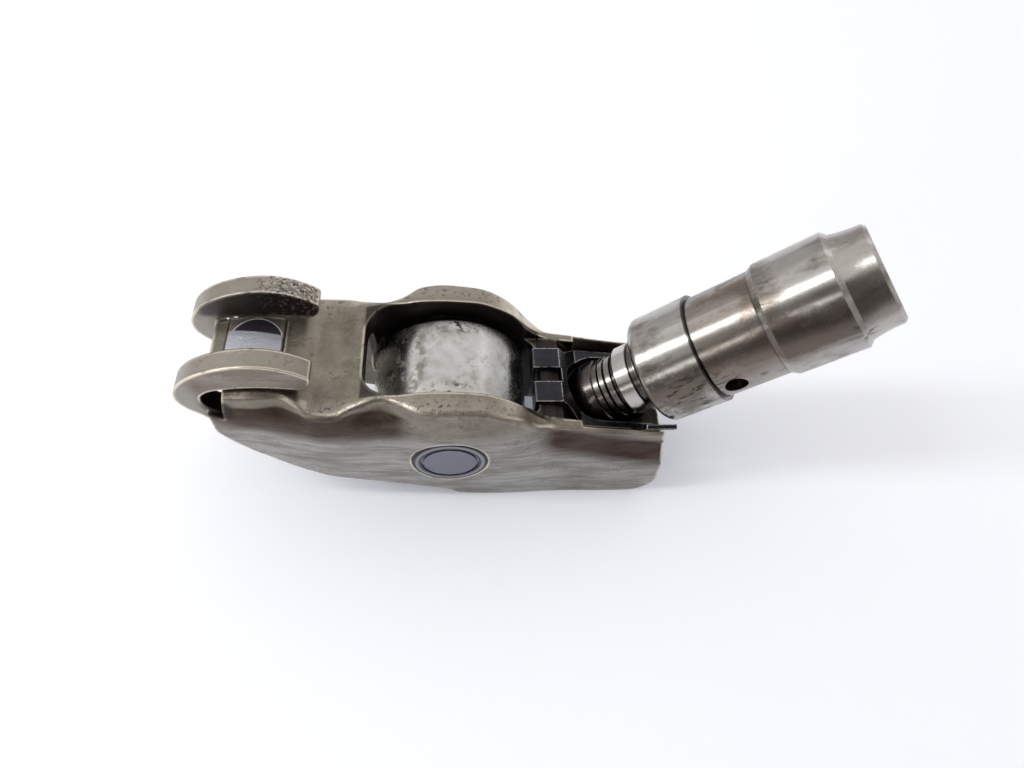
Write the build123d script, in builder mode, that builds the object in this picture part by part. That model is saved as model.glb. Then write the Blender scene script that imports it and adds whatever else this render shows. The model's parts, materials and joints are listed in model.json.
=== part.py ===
from build123d import *
import os
from math import asin, cos, floor, pi, radians, sin, sqrt

# Roller finger follower with its hydraulic lash adjuster, lying with the valve side up.
# Millimetres. +X runs along the arm to the adjuster, +Z is up, and the table is Z = 0.
# The arm lies on its roller and on the lower edges of its two walls at the socket end.

# ---- driving dimensions: roller, needles and pin ----
roller_diameter = 17.0
roller_width = 9.7
pin_diameter = 8.2
needle_diameter = 1.5
needle_length = 8.8
running_play = 0.02        # radial play of the needles on the pin and in the roller
needle_spacing = 0.03      # gap between neighbouring needles

# ---- driving dimensions: pressed arm, in plan ----
sheet = 2.4                # sheet steel of the arm
fork_gap = 11.3            # between the walls at the roller
shoulder_width = 15.1      # over the walls behind the ears
waist_width = 12.4         # over the rims where they are nipped in beside the window
tail_width = 12.9          # over the rims at the socket
skirt_width = 16.2         # over the walls at their lower edges
pad_to_pin = 19.3          # centre of the valve pad to the pin
pin_to_ball = 17.2         # pin to the centre of the ball socket
nose_length = 4.3          # pad centre to the front edge of the web
tail_length = 7.0          # ball centre to the end of the walls
window_front = 8.7         # pin to the front edge of the roller window
window_back = 9.9          # pin to the back edge of the window
window_corner = 3.2

# ---- driving dimensions: pressed arm, heights over the pin's axis ----
rim_height = 10.3          # crest of the rims over the roller
waist_height = 8.7         # web in front of the window
pad_height = 10.7          # top of the valve pad
nose_height = 10.1         # web round the pad
bar_height = 4.3           # bar between the window and the socket
tail_height = 3.6          # rims beside the socket
end_height = 2.2           # rims at the end of the walls
floor_drop = 1.9           # socket floor below the rims
belly_height = -7.1        # lower edge of the walls under the pin

# ---- driving dimensions: guide ears and pad ----
ear_gap = 6.6              # takes the valve stem
ear_thickness = 2.2
ear_height = 14.2          # crest of the ears over the pin's axis
ear_leaf = 3.5             # depth of the free leaf
ear_front = 6.7            # pad centre to the front of the hook
ear_back = 6.2             # pad centre to the free end of the leaf
pad_length = 5.6
pad_crown = 11.0           # radius of the pad's crown

# ---- driving dimensions: hydraulic lash adjuster, along its own axis from the ball ----
lean = 42.3                # adjuster's axis over the table
ball_diameter = 7.8
ball_play = 0.05
neck_diameter = 7.2
collar_diameter = 8.0
body_diameter = 12.0
oil_groove_diameter = 11.16
foot_diameter = 10.1
body_start = 6.92          # ball centre to the front face of the housing
land_length = 6.65         # front land, oil groove and rear land are alike
groove_ramp = 0.7
foot_length = 3.75
shoulder_step = 0.5        # the sliding barrel stands out this far past the collar
bore_play = 0.02
lip_play = 0.12            # between the plunger's collar and the housing's lip
stroke = 1.6               # how far the plunger can be pushed in
oil_hole = 2.3

# ---- driving dimensions: spring clip ----
clip_sheet = 0.5
clip_tab_width = 7.0       # over the two tabs that hook round the bar
clip_slot = 1.8            # between the tabs
prong_width = 0.85         # each of the two prongs
prong_play = 0.25          # between a prong and the adjuster's collar
clip_hook = 2.3            # how far the tabs reach down into the window
lip_height = 3.45          # the lips at the prongs' ends, over the pocket's floor
lip_lean = 1.65            # how far the lips lean out
lip_step = 1.1             # length of a lip's foot along the prong
lip_length = 3.4           # length of a lip's top along the prong
seat_gap = 0.05

# ---- places worked out from the sizes ----
body_end = body_start + 3 * land_length + groove_ramp + foot_length
rear_land_end = body_end - foot_length
lean_cos = cos(radians(lean))
lean_sin = sin(radians(lean))
foot_reach = body_end * lean_cos + foot_diameter / 2 * lean_sin
land_reach = rear_land_end * lean_cos + body_diameter / 2 * lean_sin
left_reach = pad_to_pin + ear_front
right_reach = pin_to_ball + max(foot_reach, land_reach)
pin_x = (left_reach - right_reach) / 2
pin_z = roller_diameter / 2
pad_x = pin_x - pad_to_pin
ball_x = pin_x + pin_to_ball
nose_x = pad_x - nose_length
tail_x = ball_x + tail_length
window_x0 = pin_x - window_front
window_x1 = pin_x + window_back
window_middle = (window_x0 + window_x1) / 2
rail_half = fork_gap / 2 + sheet
ear_half = ear_gap / 2 + ear_thickness
skirt_half = skirt_width / 2
floor_z = pin_z + tail_height - floor_drop
floor_end_z = pin_z + end_height - floor_drop
ball_z = floor_z - 0.9
crown_z = pin_z + pad_height
pad_sag = pad_crown - sqrt(pad_crown**2 - (pad_length / 2) ** 2)
bar_z = pin_z + bar_height
ramp_x0 = window_x1 + 2.0
ramp_x1 = window_x1 + 4.3
pocket_end = tail_x + 1.0
clip_opening = collar_diameter + 2 * prong_play
clip_width = clip_opening + 2 * prong_width
pocket_half = clip_width / 2 + 0.1

# roller bearing
needle_circle = pin_diameter / 2 + running_play + needle_diameter / 2
roller_bore = pin_diameter + 2 * needle_diameter + 4 * running_play
needle_count = floor(pi / (asin((needle_diameter + needle_spacing) / 2 / needle_circle)))
pin_length = skirt_width + 0.3
stake_ring = 2.85
stake_width = 0.3
stake_depth = 0.25

# adjuster, measured along its axis from the ball and out from its axis
ball_radius = ball_diameter / 2
neck_radius = neck_diameter / 2
ring_depth = 0.25
ring_start = 1.0
ring_width = 0.75
ring_pitch = 0.85
feed_hole = 0.7
collar_radius = collar_diameter / 2
collar_start = ring_start + 3 * ring_pitch + 0.35
collar_end = collar_start + 1.85
body_radius = body_diameter / 2
waist_radius = foot_diameter / 2 + 0.4
bore_radius = collar_radius + shoulder_step
barrel_radius = bore_radius - bore_play
groove_start = body_start + land_length
groove_end = groove_start + land_length
oil_hole_x = groove_start + oil_hole / 2 + 0.65
snap_wire = 0.4
snap_ring_x = body_start + 1.3
shoulder_start = snap_ring_x + snap_wire + 0.1
barrel_end = groove_end - 1.5
reservoir_start = body_start + 1.5
reservoir_radius = 2.9
piston_end = groove_end + 2.8
chamber_end = body_end - 3.6
seat_hole = 1.0
seat_rim = 1.4
check_ball_radius = 1.6
check_ball_x = barrel_end + 3.1
cage_radius = 3.4
cage_sheet = 0.3
cage_seat = check_ball_x - 0.9
cage_cup = check_ball_radius + 0.15
cage_floor = check_ball_x + check_ball_radius + 1.5
throat_half = max(neck_radius, collar_radius) + 0.3
cup_outer = ball_radius + ball_play + sheet - 0.2

pin_middle = Plane(origin=(pin_x, 0, pin_z), x_dir=(1, 0, 0), z_dir=(0, -1, 0))
ball_centre = (ball_x, 0, ball_z)
# local x runs from the ball along the adjuster, local y is the radius
adjuster_plane = Plane(
    origin=ball_centre,
    x_dir=(lean_cos, 0, lean_sin),
    z_dir=(0, -1, 0),
)
adjuster_axis = Axis(ball_centre, (lean_cos, 0, lean_sin))

check_wire = 0.1
check_spring_x = check_ball_x + check_ball_radius
check_spring_length = cage_floor - cage_sheet - check_wire - 0.02 - check_spring_x
check_spring_radius = 0.8
return_wire = 0.35
return_x = cage_seat + cage_sheet + return_wire + 0.02
return_length = chamber_end - return_wire - 0.02 - return_x
return_radius = 3.0

# spring clip, resting on the bar, the ramp and the pocket's floor
pocket_slope = (floor_end_z - floor_z) / (pocket_end - ramp_x1)
prong_x = ball_x + 5.4
lip_x = ball_x + 3.7
lip_foot = 0.82 * prong_width
lip_z = floor_z + pocket_slope * (lip_x - ramp_x1) + seat_gap

# Stations along the pressing, as the drawing die shapes it: (place, half width at the rim,
# at the shoulder, at the skirt, top of the sheet, height of the shoulder, bend radius)
shoulder_half = shoulder_width / 2
waist_half = waist_width / 2
tail_half = tail_width / 2
rim_z = pin_z + rim_height
web_z = pin_z + nose_height
dip_z = pin_z + waist_height
stations = [
    (nose_x, ear_half + 0.35, ear_half + 0.7, ear_half + 0.45, web_z - 0.3, pin_z + 5.5, 1.2),
    (pad_x, ear_half + 0.6, ear_half + 1.1, ear_half + 1.1, web_z, pin_z + 5.6, 1.0),
    (pin_x - 16.8, ear_half + 0.25, ear_half + 1.6, ear_half + 1.55, web_z - 0.4, pin_z + 5.7, 0.8),
    (
        pin_x - 14.8, shoulder_half - 0.85, shoulder_half - 0.1, shoulder_half - 0.2,
        dip_z + 0.7, pin_z + 5.6, 0.7,
    ),
    (pin_x - 13.3, shoulder_half - 0.05, shoulder_half + 0.25, shoulder_half, dip_z, pin_z + 5.4, 0.7),
    (
        pin_x - 11.5, shoulder_half, shoulder_half + 0.35, shoulder_half + 0.1,
        dip_z - 0.1, pin_z + 5.4, 0.7,
    ),
    (pin_x - 9.0, waist_half + 0.5, skirt_half - 0.2, skirt_half - 0.3, dip_z + 0.5, pin_z + 5.8, 0.6),
    (pin_x - 6.8, waist_half, skirt_half - 0.35, skirt_half - 0.1, rim_z - 0.6, pin_z + 6.2, 0.6),
    (pin_x - 5.0, waist_half + 0.6, skirt_half - 0.3, skirt_half, rim_z - 0.5, pin_z + 6.6, 0.6),
    (pin_x - 3.0, rail_half - 0.05, skirt_half + 0.05, skirt_half, rim_z - 0.1, pin_z + 6.6, 0.7),
    (pin_x - 0.8, rail_half + 0.25, skirt_half + 0.2, skirt_half, rim_z, pin_z + 6.0, 0.7),
    (pin_x + 3.0, rail_half + 0.1, skirt_half + 0.1, skirt_half, rim_z - 0.3, pin_z + 5.0, 0.7),
    (pin_x + 5.0, rail_half, skirt_half + 0.1, skirt_half, rim_z - 1.1, pin_z + 4.0, 0.7),
    (pin_x + 7.0, rail_half - 0.35, skirt_half - 0.05, skirt_half, rim_z - 2.45, pin_z + 2.5, 0.8),
    (pin_x + 9.0, tail_half + 0.75, skirt_half - 0.3, skirt_half, bar_z + 1.3, pin_z + 0.8, 0.8),
    (window_x1 + 1.2, tail_half + 0.05, skirt_half - 0.6, skirt_half, bar_z, pin_z - 0.5, 0.8),
    (ball_x - 3.2, tail_half, skirt_half - 0.65, skirt_half, bar_z - 0.55, pin_z - 1.5, 0.8),
    (
        ball_x + 0.8, tail_half - 0.15, skirt_half - 0.3, skirt_half,
        pin_z + tail_height - 0.6, pin_z - 2.5, 0.8,
    ),
    (
        tail_x, tail_half - 0.2, skirt_half - 0.25, skirt_half - 0.2,
        pin_z + end_height, pin_z - 4.5, 0.8,
    ),
]


def fair(places, values, at):
    """Value at a place on a curve through the stations that never swings past them."""
    spans = [b - a for a, b in zip(places, places[1:])]
    rises = [b - a for a, b in zip(values, values[1:])]
    slopes = [rise / span for rise, span in zip(rises, spans)]
    bends = [slopes[0]]
    for before, after in zip(slopes, slopes[1:]):
        steady = before * after > 0
        bends.append(2 * before * after / (before + after) if steady else 0.0)
    bends.append(slopes[-1])
    here = max(k for k in range(len(spans)) if places[k] <= at or k == 0)
    t = (at - places[here]) / spans[here]
    return (
        values[here] * (1 + 2 * t) * (1 - t) ** 2
        + values[here + 1] * t**2 * (3 - 2 * t)
        + bends[here] * spans[here] * t * (1 - t) ** 2
        - bends[here + 1] * spans[here] * t**2 * (1 - t)
    )


# the same stations with two more in each span, faired
columns = list(zip(*stations))
sections = []
for first, last in zip(columns[0], columns[0][1:]):
    for part_way in (0, 1 / 3, 2 / 3):
        x = first + (last - first) * part_way
        sections.append([x] + [fair(columns[0], column, x) for column in columns[1:]])
sections.append(list(stations[-1]))
skirt_z = -3.0             # the blank runs past the trimmed lower edge
past = 30.0                # cutters run well past the part

os.makedirs("parts", exist_ok=True)

# ---------------------------------------------------------------- guide ears
# A hooked leaf each side of the valve stem. They are blanked with the arm and folded up.
with BuildPart() as guide_ears:
    for side in (-1, 1):
        with BuildSketch(Plane.XZ.offset(-side * ear_gap / 2)):
            with BuildLine():
                crest = Spline(
                    (pad_x + ear_back, pin_z + ear_height - 1.9),
                    (pad_x, pin_z + ear_height),
                    (pad_x - ear_front, pin_z + ear_height - 4.1),
                    (nose_x - 1.1, pin_z + 6.2),
                    tangents=((-0.6, 0.5), (1.0, -0.9)),
                )
                chin = Line(crest @ 1, (nose_x + 1.9, pin_z + 1.6))
                root = Line(chin @ 1, (nose_x + 1.5, pin_z + 6.3))
                eye = Spline(
                    root @ 1,
                    (nose_x - 0.2, pin_z + 7.9),
                    (nose_x + 1.2, pin_z + ear_height - ear_leaf - 0.4),
                    tangents=((-1.0, 0.4), (1.0, 0.35)),
                )
                leaf = ThreePointArc(
                    eye @ 1,
                    (pad_x - 0.2, pin_z + ear_height - ear_leaf + 0.1),
                    (pad_x + ear_back - 1.2, pin_z + ear_height - ear_leaf - 0.3),
                )
                RadiusArc(leaf @ 1, crest @ 0, -1.6)
            make_face()
        extrude(amount=-side * ear_thickness)

# ---------------------------------------------------------------- lever body
# One pressing: a channel with its web on the valve side, nipped in at the waist,
# spread round the roller, drawn into a cup at the socket, with two hooked guide ears.
with BuildPart() as lever_body:
    for x, rim_half, swell, base_half, top_z, swell_z, bend in sections:
        with BuildSketch(Plane.YZ.offset(x)) as outer:
            with BuildLine():
                wall = Polyline(
                    (-swell, swell_z),
                    (-base_half, skirt_z),
                    (base_half, skirt_z),
                    (swell, swell_z),
                )
                near_rim = Spline(
                    wall @ 1,
                    (rim_half, top_z),
                    tangents=((swell - base_half, swell_z - skirt_z), (0, 1)),
                )
                Line(near_rim @ 1, (-rim_half, top_z))
                Spline(
                    (-rim_half, top_z),
                    wall @ 0,
                    tangents=((0, -1), (swell - base_half, skirt_z - swell_z)),
                )
            make_face()
            fillet(outer.vertices().group_by(Axis.Y)[-1], bend)
    loft()

    # the hollow side of the channel; at the socket it stops under the cup's floor
    for x, rim_half, swell, base_half, top_z, swell_z, bend in stations:
        ceiling = top_z - sheet
        if x > window_x1 + sheet:
            ceiling = floor_z - sheet - 0.5
        with BuildSketch(Plane.YZ.offset(x)) as inner:
            with BuildLine():
                Polyline(
                    (-base_half + sheet, skirt_z - 1),
                    (base_half - sheet, skirt_z - 1),
                    (rim_half - sheet, ceiling),
                    (-rim_half + sheet, ceiling),
                    close=True,
                )
            make_face()
            fillet(inner.vertices().group_by(Axis.Y)[-1], max(bend - sheet, 0.5))
    loft(ruled=True, mode=Mode.SUBTRACT)

    # socket: a round-bottomed cup drawn down between the walls
    with BuildSketch(Plane.XZ):
        with BuildLine():
            dome = JernArc((ball_x, ball_z - cup_outer), (1, 0), cup_outer, 90)
            Polyline(
                dome @ 1,
                (ball_x + cup_outer, ball_z + 0.5),
                (ball_x, ball_z + 0.5),
                dome @ 0,
            )
        make_face()
    revolve(axis=Axis(ball_centre, (0, 0, 1)))

    # pocket beside the socket, with sloping sides
    for x, low_z in ((ramp_x1, floor_z), (pocket_end, floor_end_z)):
        with BuildSketch(Plane.YZ.offset(x)):
            with BuildLine():
                Polyline(
                    (-pocket_half, low_z),
                    (pocket_half, low_z),
                    (tail_half - 0.45, low_z + floor_drop + 0.1),
                    (tail_half - 0.45, low_z + past),
                    (-tail_half + 0.45, low_z + past),
                    (-tail_half + 0.45, low_z + floor_drop + 0.1),
                    close=True,
                )
            make_face()
    loft(ruled=True, mode=Mode.SUBTRACT)

    # the bar, coined flat where the clip's tabs sit, with a ramp down into the pocket
    with BuildSketch(Plane.XZ):
        with BuildLine():
            Polyline(
                (window_x1 - 2.0, bar_z),
                (ramp_x0, bar_z),
                (ramp_x1, floor_z),
                (ramp_x1, bar_z + past),
                (window_x1 - 2.0, bar_z + past),
                close=True,
            )
        make_face()
    extrude(amount=pocket_half, both=True, mode=Mode.SUBTRACT)

    # trimmed lower edge: from the hooks down the belly to the straight skirt
    with BuildSketch(Plane.XZ):
        with BuildLine():
            belly = Spline(
                (nose_x - 1.1, pin_z + 6.0),
                (nose_x + 1.7, pin_z + 1.1),
                (pad_x + 1.2, pin_z - 2.0),
                (pin_x - 12.3, pin_z - 4.3),
                (pin_x, pin_z + belly_height),
                (pin_x + 8.5, 0.0),
                tangents=((1.0, -2.2), (1.0, 0.0)),
            )
            Polyline(
                belly @ 1,
                (tail_x + past, 0.0),
                (tail_x + past, -past),
                (nose_x - past, -past),
                (nose_x - past, pin_z + 6.0),
                belly @ 0,
            )
        make_face()
    extrude(amount=past, both=True, mode=Mode.SUBTRACT)

    # back end of the walls, leaning forward, with a rounded heel
    with BuildSketch(Plane.XZ):
        with BuildLine():
            heel = RadiusArc((tail_x - 3.0, 0.0), (tail_x - 0.1, 2.9), -2.9)
            Polyline(
                heel @ 1,
                (tail_x - 0.1, pin_z - 3.0),
                (tail_x - 1.1, pin_z + end_height + 3.0),
                (tail_x + past, pin_z + end_height + 3.0),
                (tail_x + past, -1.0),
                (tail_x - 3.0, -1.0),
                heel @ 0,
            )
        make_face()
    extrude(amount=past, both=True, mode=Mode.SUBTRACT)

    # roller window through the web
    with BuildSketch(Plane.XY):
        with Locations((window_middle, 0)):
            RectangleRounded(window_x1 - window_x0, fork_gap, window_corner)
    extrude(amount=past, mode=Mode.SUBTRACT)

    # the eye beside each hook, cut down from the web to the root of the hook
    for side in (-1, 1):
        with BuildSketch(Plane.XZ.offset(-side * (ear_gap / 2 - 0.1))):
            with BuildLine():
                Polyline(
                    (nose_x + 1.5, pin_z + 6.3),
                    (nose_x - 1.0, pin_z + 7.4),
                    (nose_x - 1.0, pin_z + ear_height - ear_leaf),
                    (nose_x + 2.2, pin_z + ear_height - ear_leaf),
                    (nose_x + 1.6, pin_z + 7.7),
                    close=True,
                )
            make_face()
        extrude(amount=-side * past, mode=Mode.SUBTRACT)
    add(guide_ears.part)

    # valve pad: a crowned land struck up out of the web
    with BuildSketch(Plane.XZ):
        with BuildLine():
            crown = ThreePointArc(
                (pad_x - pad_length / 2, crown_z - pad_sag),
                (pad_x, crown_z),
                (pad_x + pad_length / 2, crown_z - pad_sag),
            )
            Polyline(
                crown @ 1,
                (pad_x + pad_length / 2, crown_z - sheet),
                (pad_x - pad_length / 2, crown_z - sheet),
                crown @ 0,
            )
        make_face()
    extrude(amount=ear_gap / 2 - 0.1, both=True)

    # seat of the ball
    with Locations(ball_centre):
        Sphere(ball_diameter / 2 + ball_play, mode=Mode.SUBTRACT)

    # throat that the adjuster's neck swings in, from upright down to its rest
    with BuildSketch(Plane.XY.offset(ball_z)):
        with Locations((ball_x, 0)):
            Circle(throat_half)
    extrude(amount=past, mode=Mode.SUBTRACT)
    with BuildSketch(Plane(origin=ball_centre, z_dir=(lean_cos, 0, lean_sin))):
        Circle(throat_half)
    extrude(amount=past, mode=Mode.SUBTRACT)
    # room for the roller between the walls
    with BuildSketch(pin_middle):
        Circle(roller_diameter / 2 + 0.35)
    extrude(amount=roller_width / 2 + 0.25, both=True, mode=Mode.SUBTRACT)

    # pin bores
    with BuildSketch(pin_middle):
        Circle(pin_diameter / 2)
    extrude(amount=past, both=True, mode=Mode.SUBTRACT)

lever_body.part.label = "lever_body"
export_step(lever_body.part, "parts/lever_body.step")

# ---------------------------------------------------------------- roller pin
# A hardened pin, flush with the walls and staked by a ring struck into each end.
with BuildPart() as roller_pin:
    with BuildSketch(pin_middle):
        Circle(pin_diameter / 2)
    extrude(amount=pin_length / 2, both=True)
    chamfer(roller_pin.edges(), 0.15)
    for side in (-1, 1):
        with BuildSketch(pin_middle.offset(side * pin_length / 2)):
            Circle(stake_ring + stake_width)
            Circle(stake_ring, mode=Mode.SUBTRACT)
        extrude(amount=-side * stake_depth, mode=Mode.SUBTRACT)
roller_pin.part.label = "roller_pin"
export_step(roller_pin.part, "parts/roller_pin.step")

# ---------------------------------------------------------------- cam roller
# A ground bearing ring with broken edges.
with BuildPart() as cam_roller:
    with BuildSketch(pin_middle):
        Circle(roller_diameter / 2)
        Circle(roller_bore / 2, mode=Mode.SUBTRACT)
    extrude(amount=roller_width / 2, both=True)
    rims = cam_roller.edges().filter_by(GeomType.CIRCLE).group_by(SortBy.RADIUS)
    chamfer(rims[0], 0.2)
    rims = cam_roller.edges().filter_by(GeomType.CIRCLE).group_by(SortBy.RADIUS)
    fillet(rims[-1], 0.4)
cam_roller.part.label = "cam_roller"
export_step(cam_roller.part, "parts/cam_roller.step")

# ---------------------------------------------------------------- bearing needles
# A full complement of loose needles between the pin and the roller.
for number in range(needle_count):
    angle = 2 * pi * number / needle_count
    needle_x = pin_x + needle_circle * cos(angle)
    needle_z = pin_z + needle_circle * sin(angle)
    with BuildPart() as needle:
        with BuildSketch(Plane(origin=(needle_x, 0, needle_z), z_dir=(0, 1, 0))):
            Circle(needle_diameter / 2)
        extrude(amount=needle_length / 2, both=True)
        chamfer(needle.edges().filter_by(GeomType.CIRCLE), 0.12)
    name = f"bearing_needle_{number + 1:02d}"
    needle.part.label = name
    export_step(needle.part, f"parts/{name}.step")

# ---------------------------------------------------------------- adjuster plunger
# Turned and ground: ball head, ringed neck, collar, then the hollow sliding barrel.
with BuildPart() as adjuster_plunger:
    with BuildSketch(adjuster_plane):
        with BuildLine():
            tip_x = -sqrt(ball_radius**2 - feed_hole**2)
            neck_root = sqrt(ball_radius**2 - ring_start**2)
            head = ThreePointArc(
                (tip_x, feed_hole), (0, ball_radius), (ring_start, neck_root)
            )
            outline = Polyline(
                head @ 1,
                (ring_start + 0.1, neck_radius),
                (ring_start + ring_width, neck_radius),
                (ring_start + ring_width + 0.1, neck_radius - ring_depth),
                (ring_start + ring_pitch + 0.1, neck_radius),
                (ring_start + ring_pitch + ring_width - 0.15, neck_radius),
                (ring_start + ring_pitch + ring_width - 0.05, neck_radius - ring_depth),
                (ring_start + 2 * ring_pitch + 0.05, neck_radius),
                (ring_start + 2 * ring_pitch + ring_width - 0.1, neck_radius),
                (ring_start + 2 * ring_pitch + ring_width, neck_radius - ring_depth),
                (collar_start - 0.05, neck_radius - ring_depth),
                (collar_start, collar_radius - 0.15),
                (collar_start + 0.15, collar_radius),
                (collar_end - 0.1, collar_radius),
                (collar_end, collar_radius - ring_depth),
                (collar_end + 0.5, collar_radius - ring_depth),
                (collar_end + 0.6, collar_radius),
                (shoulder_start, collar_radius),
                (shoulder_start, barrel_radius - 0.1),
                (shoulder_start + 0.1, barrel_radius),
                (barrel_end, barrel_radius),
                (barrel_end, reservoir_radius),
                (reservoir_start, reservoir_radius),
                (reservoir_start - 0.8, feed_hole),
                head @ 0,
            )
        make_face()
    revolve(axis=adjuster_axis)
adjuster_plunger.part.label = "adjuster_plunger"
export_step(adjuster_plunger.part, "parts/adjuster_plunger.step")

# ---------------------------------------------------------------- valve seat plunger
# The lower half of the plunger: closes the reservoir and carries the check valve.
with BuildPart() as valve_seat_plunger:
    with BuildSketch(adjuster_plane):
        with BuildLine():
            Polyline(
                (barrel_end, seat_hole),
                (barrel_end, barrel_radius),
                (piston_end, barrel_radius),
                (piston_end, cage_radius + 0.02),
                (cage_seat, cage_radius + 0.02),
                (cage_seat, seat_rim),
                (cage_seat - 0.5, seat_hole),
                close=True,
            )
        make_face()
    revolve(axis=adjuster_axis)
valve_seat_plunger.part.label = "valve_seat_plunger"
export_step(valve_seat_plunger.part, "parts/valve_seat_plunger.step")

# ---------------------------------------------------------------- check ball
check_ball_place = adjuster_plane.from_local_coords((check_ball_x, 0, 0))
with BuildPart() as check_ball:
    with Locations(check_ball_place):
        Sphere(check_ball_radius)
check_ball.part.label = "check_ball"
export_step(check_ball.part, "parts/check_ball.step")

# ---------------------------------------------------------------- check ball cage
# A pressed cup with a flange, held in the recess of the plunger by the return spring.
with BuildPart() as check_ball_cage:
    with BuildSketch(adjuster_plane):
        with BuildLine():
            Polyline(
                (cage_seat, cage_radius),
                (cage_seat + cage_sheet, cage_radius),
                (cage_seat + cage_sheet, cage_cup + cage_sheet),
                (cage_floor, cage_cup + cage_sheet),
                (cage_floor, 0.5),
                (cage_floor - cage_sheet, 0.5),
                (cage_floor - cage_sheet, cage_cup),
                (cage_seat, cage_cup),
                close=True,
            )
        make_face()
    revolve(axis=adjuster_axis)
check_ball_cage.part.label = "check_ball_cage"
export_step(check_ball_cage.part, "parts/check_ball_cage.step")

# ---------------------------------------------------------------- springs
# Coil springs, drawn as their wire on the adjuster's axis.
spring_facts = (
    ("check_ball_spring", check_spring_x, check_spring_length, check_spring_radius, check_wire, 3),
    ("plunger_return_spring", return_x, return_length, return_radius, return_wire, 4),
)
for name, start, length, radius, wire, turns in spring_facts:
    foot = adjuster_plane.from_local_coords((start, 0, 0))
    with BuildPart() as spring:
        with BuildLine() as coil:
            Helix(
                pitch=length / turns,
                height=length,
                radius=radius,
                center=foot,
                direction=(lean_cos, 0, lean_sin),
            )
        with BuildSketch(Plane(origin=coil.line @ 0, z_dir=coil.line % 0)):
            Circle(wire)
        sweep()
    spring.part.label = name
    export_step(spring.part, f"parts/{name}.step")

# ---------------------------------------------------------------- adjuster housing
# Turned cup: two ground lands, the oil groove between them, a waisted foot.
with BuildPart() as adjuster_housing:
    with BuildSketch(adjuster_plane):
        with BuildLine():
            front_round = RadiusArc(
                (body_start, body_radius - 0.8), (body_start + 0.8, body_radius), 0.8
            )
            Polyline(
                front_round @ 1,
                (groove_start, body_radius),
                (groove_start, oil_groove_diameter / 2),
                (groove_end, oil_groove_diameter / 2),
                (groove_end + groove_ramp, body_radius),
                (rear_land_end, body_radius),
                (rear_land_end + 0.5, waist_radius),
            )
            foot_line = Spline(
                (rear_land_end + 0.5, waist_radius),
                (rear_land_end + 1.9, foot_diameter / 2 + 0.12),
                (body_end - 0.35, foot_diameter / 2),
            )
            Polyline(
                foot_line @ 1,
                (body_end, foot_diameter / 2 - 0.35),
                (body_end, 0),
                (chamber_end + 1.0, 0),
                (chamber_end, bore_radius),
                (snap_ring_x + snap_wire, bore_radius),
                (snap_ring_x + snap_wire, bore_radius + snap_wire),
                (snap_ring_x - snap_wire, bore_radius + snap_wire),
                (snap_ring_x - snap_wire, collar_radius + lip_play),
                (body_start, collar_radius + lip_play),
                front_round @ 0,
            )
        make_face()
    revolve(axis=adjuster_axis)
    hole_foot = adjuster_plane.from_local_coords((oil_hole_x, 0, 0))
    with BuildSketch(Plane(origin=hole_foot, x_dir=(lean_cos, 0, lean_sin), z_dir=(0, -1, 0))):
        Circle(oil_hole / 2)
    extrude(amount=past, mode=Mode.SUBTRACT)
adjuster_housing.part.label = "adjuster_housing"
export_step(adjuster_housing.part, "parts/adjuster_housing.step")

# ---------------------------------------------------------------- plunger snap ring
# Round wire sprung into a groove inside the mouth; it stops the plunger's shoulder.
ring_middle = adjuster_plane.from_local_coords((snap_ring_x, 0, 0))
with BuildPart() as plunger_snap_ring:
    with BuildSketch(adjuster_plane):
        with Locations((snap_ring_x, bore_radius + snap_wire - snap_wire)):
            Circle(snap_wire - 0.02)
    revolve(axis=adjuster_axis)
    ring_gap = Plane(origin=ring_middle, x_dir=(0, 1, 0), z_dir=(lean_cos, 0, lean_sin))
    with BuildSketch(ring_gap):
        with Locations((-bore_radius, 0)):
            Rectangle(3.0, 1.2)
    extrude(amount=1.0, both=True, mode=Mode.SUBTRACT)
plunger_snap_ring.part.label = "plunger_snap_ring"
export_step(plunger_snap_ring.part, "parts/plunger_snap_ring.step")

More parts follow.
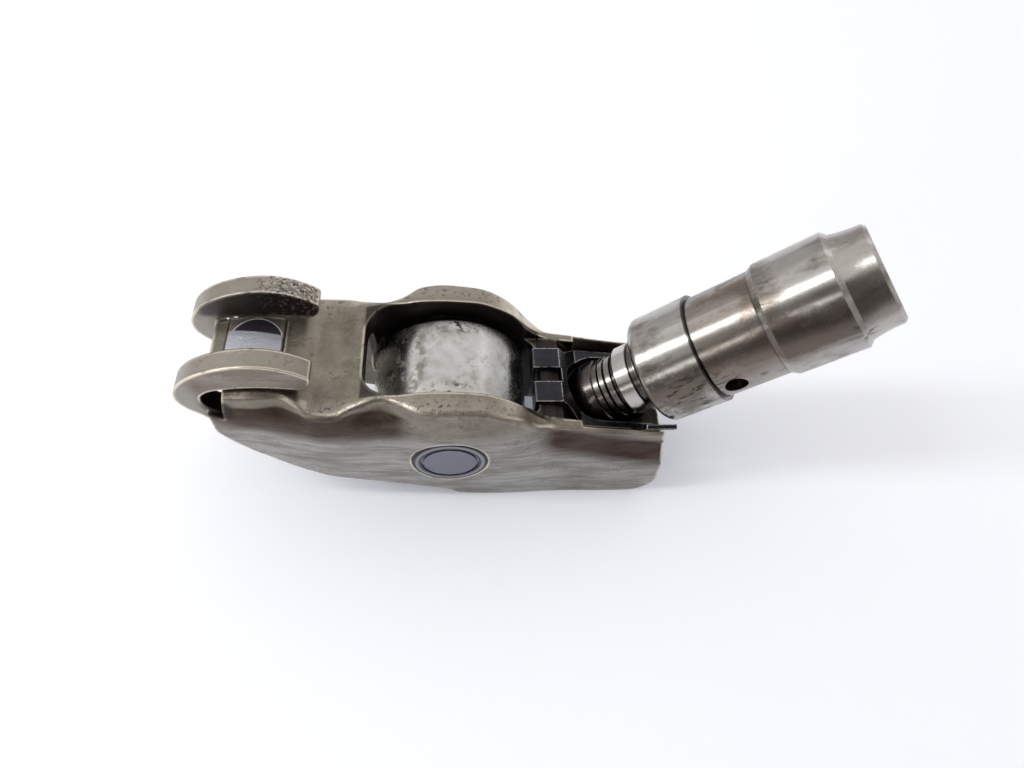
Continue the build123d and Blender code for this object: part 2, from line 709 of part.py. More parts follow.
# ---------------------------------------------------------------- retaining clip
# Black spring steel: two tabs hook into the window over the bar, two prongs reach past
# the ball on the pocket's floor, and a lip at the end of each prong turns up and out.
with BuildPart() as retaining_clip:
    with BuildSketch(Plane.XZ) as side_view:
        with BuildLine():
            hook_x = window_x1 - 0.25
            rise = clip_sheet + seat_gap
            Polyline(
                (hook_x - clip_sheet, bar_z - clip_hook),
                (hook_x, bar_z - clip_hook),
                (hook_x, bar_z + seat_gap),
                (ramp_x0, bar_z + seat_gap),
                (ramp_x1, floor_z + seat_gap),
                (prong_x, floor_z + pocket_slope * (prong_x - ramp_x1) + seat_gap),
                (prong_x, floor_z + pocket_slope * (prong_x - ramp_x1) + rise),
                (ramp_x1 + 0.25, floor_z + rise),
                (ramp_x0 + 0.25, bar_z + rise),
                (hook_x - clip_sheet, bar_z + rise),
                close=True,
            )
        make_face()
        fillet(side_view.vertices().sort_by_distance((hook_x, bar_z + rise))[0:1], 0.15)
    extrude(amount=clip_width / 2, both=True)

    # outline seen from above, open at the ends of the prongs
    with BuildSketch(Plane.XY):
        with BuildLine():
            Polyline(
                (hook_x - 2, -clip_tab_width / 2),
                (ramp_x0 + 1.0, -clip_tab_width / 2),
                (ramp_x1 + 0.2, -clip_width / 2),
                (prong_x + 2, -clip_width / 2),
                (prong_x + 2, clip_width / 2),
                (ramp_x1 + 0.2, clip_width / 2),
                (ramp_x0 + 1.0, clip_tab_width / 2),
                (hook_x - 2, clip_tab_width / 2),
                close=True,
            )
        make_face()
        with Locations((ball_x, 0)):
            Circle(clip_opening / 2, mode=Mode.SUBTRACT)
        with Locations((ball_x + past / 2, 0)):
            Rectangle(past, clip_opening, mode=Mode.SUBTRACT)
        with Locations((ramp_x0 - past / 2 + 0.4, 0)):
            Rectangle(past, clip_slot, mode=Mode.SUBTRACT)
    extrude(amount=past, mode=Mode.INTERSECT)

    # lips folded up along the pocket's sides and out over the ends of the walls
    for side in (-1, 1):
        with BuildSketch(Plane.YZ.offset(lip_x)):
            with BuildLine():
                Polyline(
                    (side * (clip_width / 2 - lip_foot), lip_z),
                    (side * clip_width / 2, lip_z),
                    (side * (clip_width / 2 + 0.6 * lip_lean), lip_z + 0.58 * lip_height),
                    (side * (clip_width / 2 + lip_lean), lip_z + lip_height),
                    (side * (clip_width / 2 + 0.72 * lip_lean), lip_z + 1.06 * lip_height),
                    (side * (clip_width / 2 + 0.33 * lip_lean), lip_z + 0.64 * lip_height),
                    (side * (clip_width / 2 - 0.3 * prong_width), lip_z + clip_sheet),
                    (side * (clip_width / 2 - lip_foot), lip_z + clip_sheet),
                    close=True,
                )
            make_face()
        extrude(amount=lip_length)
    with BuildSketch(Plane.XZ):
        with BuildLine():
            Polyline(
                (lip_x + lip_step, lip_z + 1.2 * clip_sheet),
                (lip_x + lip_step, lip_z + 0.58 * lip_height),
                (lip_x + 0.97 * lip_length, lip_z + 0.64 * lip_height),
                (lip_x + 0.77 * lip_length, lip_z + past),
                (lip_x + past, lip_z + past),
                (lip_x + past, lip_z - past),
                (lip_x + 0.5 * lip_length, lip_z - past),
                (lip_x + 0.5 * lip_length, lip_z + 1.2 * clip_sheet),
                close=True,
            )
        make_face()
    extrude(amount=past, both=True, mode=Mode.SUBTRACT)
retaining_clip.part.label = "retaining_clip"
export_step(retaining_clip.part, "parts/retaining_clip.step")
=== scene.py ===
import json
import math

import bpy
from mathutils import Matrix, Vector

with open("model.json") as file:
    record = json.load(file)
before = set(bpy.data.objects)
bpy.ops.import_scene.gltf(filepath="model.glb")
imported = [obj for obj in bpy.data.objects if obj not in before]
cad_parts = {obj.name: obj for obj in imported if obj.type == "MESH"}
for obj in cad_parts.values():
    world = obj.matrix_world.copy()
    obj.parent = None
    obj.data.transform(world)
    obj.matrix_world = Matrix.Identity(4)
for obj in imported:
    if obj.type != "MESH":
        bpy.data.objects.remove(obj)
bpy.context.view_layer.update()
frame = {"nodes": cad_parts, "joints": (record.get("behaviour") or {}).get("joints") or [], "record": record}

# ------------------------------------------------------------------ arm
# The arm is one sheet of steel, blanked, drawn and folded, then carburised and oiled.
# It has gone olive brown with heat and oil, its edges are rubbed bright, and its folds and hollows carry
# painted highlights and painted shade.


class Socket:
    """A shader socket that can be used in sums."""

    def __init__(self, finish, link):
        self.finish, self.link = finish, link

    def maths(self, operation, *others):
        sockets = dict(enumerate((self, *others)))
        return self.finish.node("ShaderNodeMath", {"operation": operation}, sockets)

    def __add__(self, other):
        return self.maths("ADD", other)

    __radd__ = __add__

    def __mul__(self, other):
        return self.maths("MULTIPLY", other)

    __rmul__ = __mul__

    def __sub__(self, other):
        return self.maths("SUBTRACT", other)

    def __rsub__(self, other):
        return (self * -1.0) + other

    def highest(self, other):
        return self.maths("MAXIMUM", other)

    def clamp(self):
        return self.highest(0.0).maths("MINIMUM", 1.0)

    def size(self):
        return self.maths("ABSOLUTE")

    def angle_from(self, other):
        """The angle that a direction with these two parts makes with the way of other."""
        return self.maths("ARCTAN2", other)

    def step(self, low, high):
        """0 below low, 1 above high, smooth between."""
        return self.finish.node(
            "ShaderNodeMapRange",
            {"interpolation_type": "SMOOTHSTEP"},
            {"Value": self, "From Min": low, "From Max": high},
            "Result",
        )

    def within(self, low, high, soft):
        """1 between two values, 0 outside, with soft ends."""
        return self.step(low - soft, low + soft) * (1.0 - self.step(high - soft, high + soft))


class Finish:
    """A material, its shader and a way to add any node."""

    def __init__(self, name, **settings):
        self.material = bpy.data.materials.new(name)
        self.material.use_nodes = True
        self.tree = self.material.node_tree
        self.shader = self.tree.nodes["Principled BSDF"]
        self.shade(**settings)
        self.place = self.node("ShaderNodeTexCoord", {}, {}, "Object")

    def put(self, socket, value):
        if isinstance(value, Socket):
            self.tree.links.new(value.link, socket)
        else:
            socket.default_value = value

    def shade(self, **sockets):
        """Give the shader's sockets their values or links."""
        for name, value in sockets.items():
            self.put(self.shader.inputs[name.replace("_", " ")], value)

    def node(self, kind, settings, sockets, out=0):
        """Any node: its settings come first, then the values or links of its sockets."""
        node = self.tree.nodes.new(kind)
        for name, value in settings.items():
            if name == "stops":
                ramp = node.color_ramp
                while len(ramp.elements) < len(value):
                    ramp.elements.new(1.0)
                for element, (place, colour) in zip(ramp.elements, value):
                    element.position = place
                    element.color = (*colour, 1.0)
            else:
                setattr(node, name, value)
        for name, value in sockets.items():
            self.put(node.inputs[name], value)
        return Socket(self, node.outputs[out])

    def axis(self, letter, vector=None):
        return self.node("ShaderNodeSeparateXYZ", {}, {"Vector": vector or self.place}, letter)

    def moved(self, turn=(0, 0, 0), scale=(1, 1, 1), place=None):
        return self.node(
            "ShaderNodeMapping",
            {},
            {"Vector": place or self.place, "Rotation": turn, "Scale": scale},
        )

    def distance(self, place, centre):
        return self.node(
            "ShaderNodeVectorMath", {"operation": "DISTANCE"}, {0: place, 1: centre}, "Value"
        )

    def ball(self, centre, radius, soft):
        """1 inside a soft-edged ball at a place in metres, 0 outside."""
        return 1.0 - self.distance(self.place, centre).step(radius - soft, radius + soft)

    def noise(self, per_metre, detail, rough, vector=None, twist=0.0):
        """Clouds, so many to the metre, with finer layers added that are as strong as rough."""
        return self.node(
            "ShaderNodeTexNoise",
            {},
            {
                "Vector": vector or self.place,
                "Scale": per_metre,
                "Detail": detail,
                "Roughness": rough,
                "Distortion": twist,
            },
        )

    def ramp(self, amount, stops):
        return self.node("ShaderNodeValToRGB", {"stops": stops}, {"Fac": amount}, "Color")

    def mix(self, amount, under, over):
        """One colour over another; each is three numbers or a socket."""
        under, over = (
            colour if isinstance(colour, Socket) else (*colour, 1.0) for colour in (under, over)
        )
        return self.node(
            "ShaderNodeMix", {"data_type": "RGBA"}, {"Factor": amount, 6: under, 7: over}, 2
        )

    def rounded(self, width):
        """The normal, as if the edges were rounded."""
        return self.node("ShaderNodeBevel", {"samples": 6}, {"Radius": width})

    def flat(self):
        """The normal of the mesh itself."""
        return self.node("ShaderNodeNewGeometry", {}, {}, "Normal")

    def edges(self, width):
        """How far the rounded normal turns from the flat one: 0 on faces, more at edges."""
        same = self.node(
            "ShaderNodeVectorMath",
            {"operation": "DOT_PRODUCT"},
            {0: self.rounded(width), 1: self.flat()},
            "Value",
        )
        return (1.0 - same).clamp()

    def bump(self, pattern, strength, reach, normal=None):
        sockets = {"Height": pattern, "Strength": strength, "Distance": reach}
        if normal is not None:
            sockets["Normal"] = normal
        return self.node("ShaderNodeBump", {}, sockets)


def wear(finish, *node_names):
    """Give CAD nodes this finish in place of the one they came with."""
    for node_name in node_names:
        slots = frame["nodes"][node_name].data.materials
        slots.clear()
        slots.append(finish.material)


joints = {joint["name"]: joint for joint in frame["joints"]}
mounts = {mount["name"]: mount for mount in frame["record"]["mounts"]}
pin_x, _, pin_z = joints["roller_spin"]["pos_m"]
ball_x, _, ball_z = joints["adjuster_swing"]["pos_m"]
pad_x = mounts["valve_pad"]["pos_m"][0]

# places on the arm are in metres: along it from the pin, in height over the table and
# out to either side; two in brackets are the ends of a soft edge, or of a band
soft_end = 0.0002
arm = Finish("oiled_arm_steel", Metallic=1.0)
along = arm.axis("X") - pin_x
height = arm.axis("Z")
side = arm.axis("Y").size()
upright = arm.axis("Z", arm.flat())
cloud = arm.noise(160, 5.0, 0.6)
fine = arm.noise(900, 6.0, 0.65)
grain = arm.noise(2600, 3.0, 0.6)
scratch = arm.noise(760, 5.0, 0.7, arm.moved(turn=(0.3, 0.5, 0.4), scale=(0.16, 1.0, 3.5)))
smear = arm.noise(420, 5.0, 0.65, arm.moved(turn=(0.0, 0.25, 0.0), scale=(0.35, 1.0, 1.6)))
tone = arm.ramp(
    cloud * 0.55 + fine * 0.3 + grain * 0.15,
    (
        (0.30, (0.125, 0.110, 0.086)),
        (0.45, (0.200, 0.181, 0.145)),
        (0.58, (0.275, 0.252, 0.205)),
        (0.72, (0.370, 0.347, 0.300)),
    ),
)
heat_brown = (0.120, 0.082, 0.055)
heat = arm.noise(230, 4.0, 0.6, arm.moved(scale=(1.0, 1.0, 2.2))).step(0.50, 0.72)
tone = arm.mix(heat * 0.45, tone, heat_brown)

# the walls' flat sides are bare, grey and scratched
wall_face, wall_top = (0.0058, 0.0066), (0.0120, 0.0150)
dull_grey, bare_grey = (0.260, 0.243, 0.220), (0.450, 0.444, 0.430)
bright_scratch, dark_scratch = (0.640, 0.620, 0.590), (0.130, 0.110, 0.090)
wall = side.step(*wall_face) * (1.0 - height.step(*wall_top))
wall_grey = arm.mix(smear.step(0.35, 0.65), dull_grey, bare_grey)
tone = arm.mix(wall * (0.55 + cloud * 0.5).clamp(), tone, wall_grey)
tone = arm.mix(scratch.step(0.56, 0.66) * wall * 0.45, tone, bright_scratch)
tone = arm.mix((1.0 - scratch.step(0.36, 0.44)) * wall * 0.40, tone, dark_scratch)

# the ears' crests are paler and the leaves' outer faces browner; the hooks' noses are painted paler, a
# painted reflection of the window on the left
ear_crest, hook_nose = (0.0196, 0.0212), (-0.0250, -0.0232)
leaf_face, leaf_foot = (0.0052, 0.0058), (0.0185, 0.0192)
crest_grey, nose_window_reflection = (0.400, 0.370, 0.340), (0.450, 0.425, 0.400)
leaf_brown = (0.200, 0.135, 0.110)
tone = arm.mix(height.step(*ear_crest) * 0.38, tone, crest_grey)
# painted reflection: the hooks' noses lightened as if they mirrored the left window
tone = arm.mix((1.0 - along.step(*hook_nose)) * 0.6, tone, nose_window_reflection)
leaf = side.within(*leaf_face, soft_end) * height.step(*leaf_foot)
tone = arm.mix(leaf * smear.step(0.42, 0.60) * 0.6, tone, leaf_brown)

# burnt oil and painted shade under the rims, in the scoops: at the waist, and beside the socket, where the
# rim slopes
waist_foot, waist_rim, waist_face = (0.0120, 0.0148), (0.0166, 0.0171), (0.0054, 0.0060)
waist_start, waist_end = (-0.0250, -0.0200), (-0.0062, -0.0030)
tail_start, tail_rim, tail_face = (0.0075, 0.0125), (0.0076, 0.0106), (0.0062, 0.0066)
tail_middle, tail_slope = 0.011, 0.24
burnt_oil_and_shade = (0.060, 0.038, 0.030)
waist = height.step(*waist_foot) * (1.0 - height.step(*waist_rim)) * side.step(*waist_face)
waist = waist * along.step(*waist_start) * (1.0 - along.step(*waist_end))
slant = height + (along - tail_middle) * tail_slope
tail = slant.step(*tail_rim) * side.step(*tail_face) * along.step(*tail_start)
burnt_and_shaded = (waist * 1.2 + tail * 1.2).clamp() * (0.55 + smear * 0.75)
# burnt oil mixed with painted shade under the overhanging rims
tone = arm.mix(burnt_and_shaded.clamp(), tone, burnt_oil_and_shade)

# black oil and painted shade inside the window, on the bar, in the socket's cup, between the ears and in
# their eyes; the factors say how dark each lies
window_wall, window_ends = (0.00566, 0.00574), (-0.0088, 0.0100)
bar_wall, bar_ends = (0.0050, 0.0054), (0.0099, 0.0150)
cup_centre, cup_radius, cup_soft = (ball_x, 0.0, ball_z + 0.001), 0.0062, 0.0008
gap_wall, gap_foot = (0.00335, 0.00345), (0.0187, 0.0196)
gap_ends, gap_soft = (-0.0250, -0.0128), 0.0006
eye_centre = (pad_x - 0.0032, 0.0, 0.0163)
eye_edge, eye_wall = (0.0013, 0.0019), (0.0031, 0.0034)
black_oil_and_shade = (0.030, 0.024, 0.024)
window = (1.0 - side.step(*window_wall)) * along.within(*window_ends, soft_end)
bar = along.within(*bar_ends, soft_end) * (1.0 - side.step(*bar_wall))
cup = arm.ball(cup_centre, cup_radius, cup_soft)
gap = (1.0 - side.step(*gap_wall)) * along.within(*gap_ends, gap_soft) * height.step(*gap_foot)
from_eye = arm.distance(arm.moved(scale=(1.0, 0.0, 1.0)), eye_centre)
eye = (1.0 - from_eye.step(*eye_edge)) * side.step(*eye_wall)
oil_and_shade = (window * 0.85 + bar * 0.96 + cup * 0.9 + gap * 0.75 + eye * 0.85).clamp()
# black oil and painted shade in the arm's hollows and recesses
tone = arm.mix(oil_and_shade, tone, black_oil_and_shade)

# edges painted bright, partly rubbed steel and partly painted highlight: the corners, and a painted
# highlight on the crest of the fold along each rim, which is a thin line where the rim dips beside the
# window; under the oil and painted shade and at the walls' feet they are duller, and a turn is how far the
# steel faces up, from 0 to 1
crest_turn, crest_foot, crest_face = (0.60, 0.86), (0.0095, 0.0105), (0.0056, 0.0060)
line_turn, line_foot, line_face = (0.82, 0.955), (0.0140, 0.0145), (0.0060, 0.0063)
crest_soft, line_soft = 0.07, 0.03
dip_ends, dip_soft = (-0.0128, -0.0050), 0.0010
wall_foot, foot_soft = (0.0, 0.0035), 0.001
corner_width, rubbed_and_highlight = 0.00045, (0.980, 0.880, 0.720)
crest_highlight = upright.within(*crest_turn, crest_soft) * height.step(*crest_foot)
line_highlight = upright.within(*line_turn, line_soft) * height.step(*line_foot)
dip = along.within(*dip_ends, dip_soft)
crest_highlight = crest_highlight * side.step(*crest_face) * (1.0 - dip) + line_highlight * side.step(*line_face) * dip
rub_and_highlight = (arm.edges(corner_width) * 26.0).clamp() * fine.step(0.32, 0.46)
rub_and_highlight = (rub_and_highlight + crest_highlight * (0.35 + cloud * 0.9)).clamp()
rub_and_highlight = rub_and_highlight * (1.0 - oil_and_shade) * (1.0 - height.within(*wall_foot, foot_soft) * 0.7)
# rubbed edges and painted highlights along the rims' folds
tone = arm.mix(rub_and_highlight * 0.88, tone, rubbed_and_highlight)

# painted light: the rims' tops that face up are painted paler, as if lit from above; pits and black specks,
# more of them on those tops, and most where the far ear's free end crumbles
rim_turn, rim_face = (0.5, 0.8), (0.0052, 0.0070)
rim_foot, rim_top = (0.015, 0.017), (0.0185, 0.0195)
crumbled_end = (pad_x + 0.0040, 0.0044, 0.0218)
crumbled_radius, crumbled_soft = 0.0030, 0.0012
rim_painted_light, speck_black = (0.440, 0.405, 0.355), (0.030, 0.024, 0.020)
crumb_dark, crumb_glint = (0.050, 0.040, 0.034), (0.760, 0.730, 0.680)
rim = upright.step(*rim_turn) * side.step(*rim_face) * height.step(*rim_foot)
# painted light on the rims' up-facing tops
tone = arm.mix(rim * (1.0 - height.step(*rim_top)) * 0.45, tone, rim_painted_light)
worst = arm.ball(crumbled_end, crumbled_radius, crumbled_soft)
speck_zone = arm.noise(330, 3.0, 0.5).step(0.48, 0.66) * 0.4 + worst * 1.3 + rim * 0.5
specks = arm.noise(2400, 2.0, 0.5, twist=0.3).step(0.57, 0.64) * speck_zone.clamp()
tone = arm.mix(specks * 0.8, tone, speck_black)
crumbs = arm.noise(3800, 2.0, 0.5)
tone = arm.mix(crumbs.step(0.55, 0.61) * worst * 0.55, tone, crumb_dark)
# the pale specks here are painted glints among the pits
tone = arm.mix((1.0 - crumbs.step(0.38, 0.43)) * worst * 0.5, tone, crumb_glint)

# valve pad: worn to a bright face; where the valve's tip does not reach, a dark crescent of painted shade,
# with a painted highlight arc round it, and painted shade on the flanks at either end
pad_foot, pad_top = (0.01866, 0.01872), (0.0193, 0.0194)
pad_end, pad_edge = (0.00262, 0.00268), (0.00325, 0.00330)
worn_edge, worn_slant = (0.00125, 0.00135), 0.10
arc_centre, arc_inside = (pad_x + 0.0001, 0.0002, 0.0), (0.00255, 0.00265)
arc_band, arc_soft = (0.00262, 0.00274), 0.00004
flank_ends, flank_heights = (0.00266, 0.00305), (0.0182, 0.0190)
flank_edge, flank_soft = (0.0032, 0.0033), 0.00006
worn_dark, worn_bright = (0.36, 0.37, 0.41), (0.56, 0.57, 0.62)
painted_crescent_shade, arc_highlight = (0.045, 0.038, 0.056), (0.85, 0.85, 0.88)
flank_shade = (0.022, 0.020, 0.022)
sweep = arm.axis("X") - pad_x
from_arc = arm.distance(arm.moved(scale=(1.0, 1.0, 0.0)), arc_centre)
pad = height.step(*pad_foot) * (1.0 - height.step(*pad_top))
pad = pad * (1.0 - sweep.size().step(*pad_end)) * (1.0 - side.step(*pad_edge))
worn = pad * (1.0 - (arm.axis("Y") + sweep * worn_slant).step(*worn_edge))
shade_crescent = pad * (1.0 - from_arc.step(*arc_inside)) * (1.0 - worn)
highlight_arc = pad * from_arc.within(*arc_band, arc_soft) * (1.0 - worn)
shaded_flank = sweep.size().within(*flank_ends, flank_soft) * height.within(*flank_heights, soft_end)
shaded_flank = shaded_flank * (1.0 - side.step(*flank_edge))
sweep_lines = arm.noise(2400, 3.0, 0.6, arm.moved(scale=(0.25, 1.0, 1.0)))
# painted shade on the flanks and in the crescent, and a painted highlight on the arc
tone = arm.mix(shaded_flank * 0.9, tone, flank_shade)
tone = arm.mix(shade_crescent * 0.92, tone, painted_crescent_shade)
tone = arm.mix(highlight_arc * 0.9, tone, arc_highlight)
tone = arm.mix(worn, tone, arm.mix(sweep_lines, worn_dark, worn_bright))

fold_width = 0.00028
folds = arm.rounded(fold_width)
relief = fine * 0.6 + grain * 0.7 + scratch * 0.6 + smear * 0.4 - specks * 1.4
arm.shade(
    Base_Color=tone,
    Roughness=(0.31 + cloud * 0.16 + fine * 0.12 - rub_and_highlight * 0.12).clamp(),
    Normal=arm.bump(relief, strength=0.50, reach=0.00008, normal=folds),
)
wear(arm, "lever_body")

# ------------------------------------------------------------------ roller
# The roller is a ring of bearing steel, through hardened and ground on its rim. Oil has
# stained it in specks near its ends, and in one bowed line where it has stood still.
speck_oil, line_oil = (0.050, 0.042, 0.030), (0.140, 0.118, 0.080)
line_x, line_bow, line_edge = pin_x - 0.0022, 60.0, (0.0002, 0.0010)
roller_ends = (0.0022, 0.0042)
roller = Finish("ground_roller_steel", Metallic=1.0)
patches = roller.noise(420, 5.0, 0.6)
grinding = roller.noise(1500, 4.0, 0.6, roller.moved(scale=(1.0, 5.0, 1.0)))
roller_tone = roller.ramp(
    patches,
    (
        (0.30, (0.360, 0.350, 0.320)),
        (0.50, (0.520, 0.515, 0.495)),
        (0.72, (0.640, 0.640, 0.635)),
    ),
)
along_pin = roller.axis("Y")
ends = along_pin.size().step(*roller_ends)
stain = roller.noise(1500, 3.0, 0.6, twist=0.4).step(0.51, 0.59)
stain = stain * roller.noise(300, 4.0, 0.6).step(0.40, 0.60)
roller_tone = roller.mix(stain * (0.16 + ends * 0.84), roller_tone, speck_oil)
bow = along_pin * along_pin * line_bow
from_line = (roller.axis("X") - line_x + bow + patches * 0.0016).size()
drip = (1.0 - from_line.step(*line_edge)) * roller.noise(900, 4.0, 0.6).step(0.38, 0.54)
roller_tone = roller.mix(drip * 0.70, roller_tone, line_oil)
rim_relief = grinding + patches * 0.5 - stain * 0.4
roller.shade(
    Base_Color=roller_tone,
    Roughness=(0.18 + patches * 0.14 + stain * 0.20).clamp(),
    Normal=roller.bump(rim_relief, strength=0.22, reach=0.00004),
)
wear(roller, "cam_roller")

# ------------------------------------------------------------------ pin
# The pin is the roller's axle: hard, blue grey steel, ground flush with the walls and
# staked by a ring struck into each end. Dirt lies round that ring and at the pin's
# edge, with a paler band between.
pin_dark, pin_light = (0.150, 0.158, 0.192), (0.235, 0.246, 0.288)
band_grey, pin_dirt = (0.330, 0.330, 0.340), (0.030, 0.028, 0.030)
pale_band, pale_soft = (0.00340, 0.00370), 0.00006
dirty_band, dirty_soft, pin_edge = (0.00318, 0.00336), 0.00005, (0.00370, 0.00380)
pin = Finish("ground_pin_steel", Metallic=1.0)
pin_noise = pin.noise(800, 5.0, 0.6)
from_axis = pin.distance(pin.moved(scale=(1.0, 0.0, 1.0)), (pin_x, 0.0, pin_z))
pin_tone = pin.mix(pin_noise, pin_dark, pin_light)
pin_tone = pin.mix(from_axis.within(*pale_band, pale_soft) * 0.6, pin_tone, band_grey)
dirty = from_axis.step(*pin_edge) + from_axis.within(*dirty_band, dirty_soft)
pin_tone = pin.mix(dirty.clamp() * 0.88, pin_tone, pin_dirt)
pin.shade(
    Base_Color=pin_tone,
    Roughness=(0.26 + pin_noise * 0.2).clamp(),
    Normal=pin.bump(pin_noise, strength=0.12, reach=0.00004),
)
wear(pin, "roller_pin")

# ------------------------------------------------------------------ needles and check ball
# The needles stand loose in a full row between pin and roller, and the check ball sits
# on its seat in the adjuster. Both are lapped bearing steel with a film of dark oil.
needle_dark, needle_light = (0.40, 0.38, 0.34), (0.62, 0.61, 0.59)
needle = Finish("lapped_needle_steel", Metallic=1.0)
needle_noise = needle.noise(1200, 3.0, 0.5)
needle.shade(
    Base_Color=needle.mix(needle_noise, needle_dark, needle_light),
    Roughness=(0.14 + needle_noise * 0.15).clamp(),
)
wear(needle, *(name for name in frame["nodes"] if name.startswith("bearing_needle")))
wear(needle, "check_ball")

# ------------------------------------------------------------------ clip
# The clip is spring steel strip, blanked, bent round the arm's bar and blackened. It snaps over the
# adjuster's neck, and its sheared edges are painted a little bright, partly bare steel and partly painted
# highlight.
clip_black, clip_grey = (0.012, 0.012, 0.015), (0.050, 0.048, 0.058)
sheared_bright_and_highlight = (0.66, 0.63, 0.60)
sheared_width, bent_width = 0.00020, 0.00012
clip = Finish("blackened_spring_steel", Metallic=0.85)
clip_noise = clip.noise(700, 5.0, 0.6)
clip_rub_and_highlight = (clip.edges(sheared_width) * 22.0).clamp() * clip_noise.step(0.36, 0.50)
clip_tone = clip.mix(clip_noise, clip_black, clip_grey)
# sheared edges painted bright: bare steel and painted highlight
clip_tone = clip.mix(clip_rub_and_highlight * 0.8, clip_tone, sheared_bright_and_highlight)
clip.shade(
    Base_Color=clip_tone,
    Roughness=(0.17 + clip_noise * 0.2).clamp(),
    Normal=clip.bump(clip_noise, strength=0.15, reach=0.00005, normal=clip.rounded(bent_width)),
)
wear(clip, "retaining_clip")

# ------------------------------------------------------------------ housing
# The adjuster's housing is a turned cup, hardened and ground between centres, so fine
# rings run round it. Old oil has left brown film along its near side, and dark flecks
# that lie thickest on its front land.
spin_axis = joints["adjuster_spin"]["axis"]
lean = math.atan2(spin_axis[2], spin_axis[0])
ball_along = ball_x * math.cos(lean) + ball_z * math.sin(lean)
ball_over = ball_z * math.cos(lean) - ball_x * math.sin(lean)
foot = Vector(mounts["adjuster_foot"]["pos_m"])
housing_end = (foot - Vector((ball_x, 0.0, ball_z))).length
film_turn, film_soft = (0.86, 1.36), 0.16  # radians, from its top round to the near side
film_end, rear_land = (housing_end - 0.00045, housing_end - 0.00010), (0.0200, 0.0212)
band_soft = 0.00005
fleck_spot, fleck_radius, fleck_soft = (0.0154, -0.0059, 0.0168), 0.0036, 0.0014
fleck_black = (0.045, 0.038, 0.030)


def turned(name, light, dark, film, film_amount, bands):
    """Ground steel with fine rings round its axis.

    A band is (from, to, colour, amount), in metres along it from the ball's centre.
    """
    steel = Finish(name, Metallic=1.0)
    leaned = steel.moved(turn=(0.0, lean, 0.0))
    along_it = steel.axis("X", leaned) - ball_along
    over = steel.axis("Z", leaned) - ball_over
    near = steel.axis("Y") * -1.0
    rings = steel.node(
        "ShaderNodeTexNoise",
        {"noise_dimensions": "1D"},
        {"W": along_it, "Scale": 5200.0, "Detail": 5.0, "Roughness": 0.7},
    )
    patch = steel.noise(210, 5.0, 0.62)
    streak = steel.noise(520, 5.0, 0.65, steel.moved(scale=(0.22, 1.0, 1.0), place=leaned))
    fleck = steel.noise(1700, 5.0, 0.7, steel.moved(scale=(0.30, 1.0, 1.0), place=leaned))
    colour = steel.mix((patch * 0.5 + streak * 0.5).step(0.35, 0.65), dark, light)

    round_it = near.angle_from(over) + (patch - 0.5) * 0.5
    near_side = round_it.within(*film_turn, film_soft) * (1.0 - along_it.step(*film_end))
    near_side = near_side * (0.7 + along_it.step(*rear_land) * 0.5)
    film_here = (patch * 0.6 + streak * 0.4).step(0.44, 0.62) + near_side
    film_here = film_here.clamp() * film_amount
    colour = steel.mix(film_here, colour, film)

    for low, high, paint, amount in bands:
        here = along_it.within(low, high, band_soft) * amount
        colour = steel.mix(here * (0.6 + streak * 0.8).clamp(), colour, paint)

    zone = steel.noise(300, 2.0, 0.5).step(0.54, 0.66) * 0.8
    zone = (zone + steel.ball(fleck_spot, fleck_radius, fleck_soft)).clamp()
    flecks = fleck.step(0.54, 0.61) * zone
    colour = steel.mix(flecks * 0.8, colour, fleck_black)
    steel.shade(
        Base_Color=colour,
        Roughness=(0.12 + rings * 0.08 + patch * 0.08 + flecks * 0.2 + film_here * 0.1).clamp(),
        Normal=steel.bump(rings * 0.7 + fleck * 0.5, strength=0.20, reach=0.00003),
    )
    return steel


housing = turned(
    "ground_housing_steel",
    light=(0.54, 0.53, 0.505),
    dark=(0.36, 0.345, 0.32),
    film=(0.100, 0.074, 0.055),
    film_amount=0.85,
    bands=(
        (0.01340, 0.01372, (0.025, 0.020, 0.018), 0.85),  # grease at the groove's front step
        (0.01372, 0.02020, (0.210, 0.165, 0.135), 0.45),  # brown groove
        (0.02018, 0.02036, (0.050, 0.040, 0.034), 0.60),  # dirt at its rear step
        (0.02760, 0.03180, (0.470, 0.440, 0.410), 0.45),  # paler foot
    ),
)
wear(housing, "adjuster_housing")

# ------------------------------------------------------------------ plungers and cage
# The upper plunger, with its ball head and ringed neck, and the lower one are turned and
# ground as the housing is, and slide in it. The check ball's cage is thin pressed sheet.
plunger = turned(
    "ground_plunger_steel",
    light=(0.44, 0.42, 0.40),
    dark=(0.18, 0.165, 0.150),
    film=(0.060, 0.048, 0.040),
    film_amount=0.75,
    bands=(
        (-0.00400, 0.00120, (0.060, 0.050, 0.045), 0.70),  # oily ball
        # the dark bands in the grooves and at the step behind the collar are painted shade
        (0.00172, 0.00195, (0.020, 0.018, 0.018), 0.90),  # grooves between the neck's rings
        (0.00252, 0.00268, (0.020, 0.018, 0.018), 0.90),
        (0.00340, 0.00385, (0.030, 0.026, 0.024), 0.85),  # groove before the collar
        (0.00395, 0.00560, (0.620, 0.600, 0.570), 0.75),  # bright collar
        (0.00575, 0.00630, (0.060, 0.050, 0.045), 0.70),  # step behind it
        (0.00900, 0.02200, (0.015, 0.012, 0.010), 0.98),  # barrel, black with oil
    ),
)
wear(plunger, "adjuster_plunger", "valve_seat_plunger", "check_ball_cage")

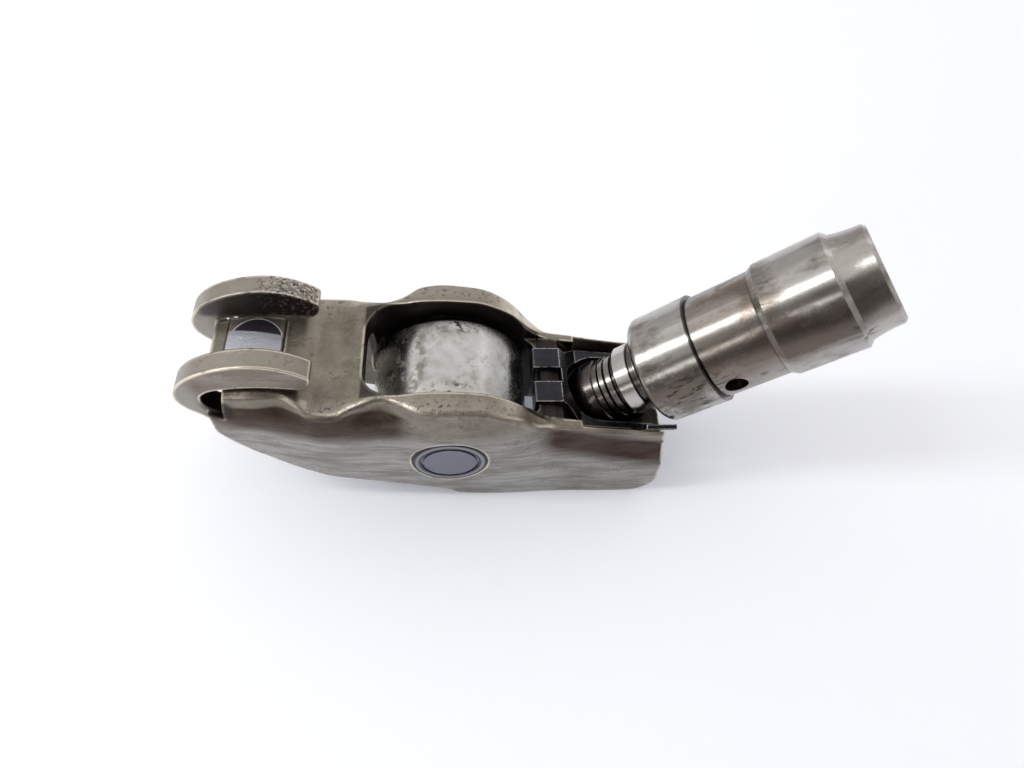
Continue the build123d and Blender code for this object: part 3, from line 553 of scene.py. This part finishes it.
# ------------------------------------------------------------------ springs and ring
# The two coil springs stand inside the adjuster, and the snap ring sits in a groove and
# keeps the plunger in. All three are drawn wire, dark with oil.
wire_dark, wire_light = (0.12, 0.11, 0.10), (0.30, 0.29, 0.28)
wire = Finish("drawn_spring_wire", Metallic=1.0)
wire_noise = wire.noise(900, 3.0, 0.5)
wire.shade(
    Base_Color=wire.mix(wire_noise, wire_dark, wire_light),
    Roughness=(0.25 + wire_noise * 0.2).clamp(),
)
wear(wire, "check_ball_spring", "plunger_return_spring", "plunger_snap_ring")

# ------------------------------------------------------------------ table and light
# A white table in a dim room with pale walls, a pale ceiling, a window on the left and
# a narrower one in front of it. The table looks whiter than the light it throws back.
paper_seen, paper_lit = (0.97, 0.97, 0.98), (0.86, 0.88, 0.92)
paper_glow, no_glow = (0.185, 0.203, 0.242), (0.0, 0.0, 0.0)
bpy.ops.mesh.primitive_plane_add(size=3.0, location=(0.0, 0.0, 0.0))
table = bpy.context.object
table.name = "table"
paper = Finish("white_table", Roughness=0.7, Emission_Strength=1.0)
seen = paper.node("ShaderNodeLightPath", {}, {}, "Is Camera Ray")
for ray in ("Is Glossy Ray", "Is Transmission Ray"):
    seen = seen.highest(paper.node("ShaderNodeLightPath", {}, {}, ray))
paper.shade(
    Base_Color=paper.mix(seen, paper_lit, paper_seen),
    Emission_Color=paper.mix(seen, no_glow, paper_glow),
)
table.data.materials.append(paper.material)

world = bpy.data.worlds.new("studio")
world.use_nodes = True
bpy.context.scene.world = world
room = world.node_tree.nodes["Background"]
room.inputs["Color"].default_value = (1.0, 0.90, 0.84, 1.0)
room.inputs["Strength"].default_value = 0.15

middle = Vector((0.0, 0.0, 0.012))


def panel(name, way, distance, wide, tall, glow, colour=(1.0, 1.0, 1.0)):
    """A soft light in a direction from the part, given by how bright its face is."""
    lamp = bpy.data.lights.new(name, "AREA")
    lamp.shape = "RECTANGLE"
    lamp.size, lamp.size_y = wide, tall
    lamp.energy = glow * wide * tall * math.pi
    lamp.color = colour
    holder = bpy.data.objects.new(name, lamp)
    bpy.context.collection.objects.link(holder)
    holder.location = Vector(way).normalized() * distance + middle
    holder.rotation_euler = Vector(way).to_track_quat("Z", "Y").to_euler()


panel("window_left", (-0.785, -0.02, 0.60), 0.40, 0.055, 0.34, 11.0, (0.97, 0.99, 1.0))
panel("window_front", (-0.60, -0.70, 0.40), 0.40, 0.030, 0.20, 3.6, (1.0, 0.98, 0.95))
panel("pale_wall", (0.0, 0.95, 0.32), 0.80, 1.60, 0.50, 0.55)
panel("left_wall", (-0.95, 0.10, 0.34), 0.70, 1.00, 0.45, 0.50)
panel("right_wall", (0.95, 0.15, 0.35), 0.70, 1.00, 0.45, 0.60)
panel("ceiling", (-0.05, 0.36, 0.93), 0.60, 1.40, 0.90, 0.78)

# ------------------------------------------------------------------ camera
# A short lens close above the part, looking down at its near side. The focal length is
# in pixels of a picture that wide, and the place is given from the middle of the pin.
picture_width, focal_pixels, sensor_width = 1024.0, 680.0, 36.0
lens = bpy.data.cameras.new("camera")
lens.sensor_width = sensor_width
lens.lens = focal_pixels / picture_width * sensor_width
lens.clip_start = 0.005
camera = bpy.data.objects.new("camera", lens)
bpy.context.collection.objects.link(camera)
right = (0.99614612, -0.05046049, 0.07174013)
up = (0.00364776, 0.84105845, 0.54093195)
ahead = (0.08763333, 0.53858558, -0.83800118)
aim = Matrix((right, up, [-v for v in ahead])).transposed()
stand = Matrix.Translation((pin_x + 0.00025797, -0.04088377, 0.07497109))
camera.matrix_world = stand @ aim.to_4x4()
bpy.context.scene.camera = camera

bpy.context.scene.view_settings.view_transform = "Standard"
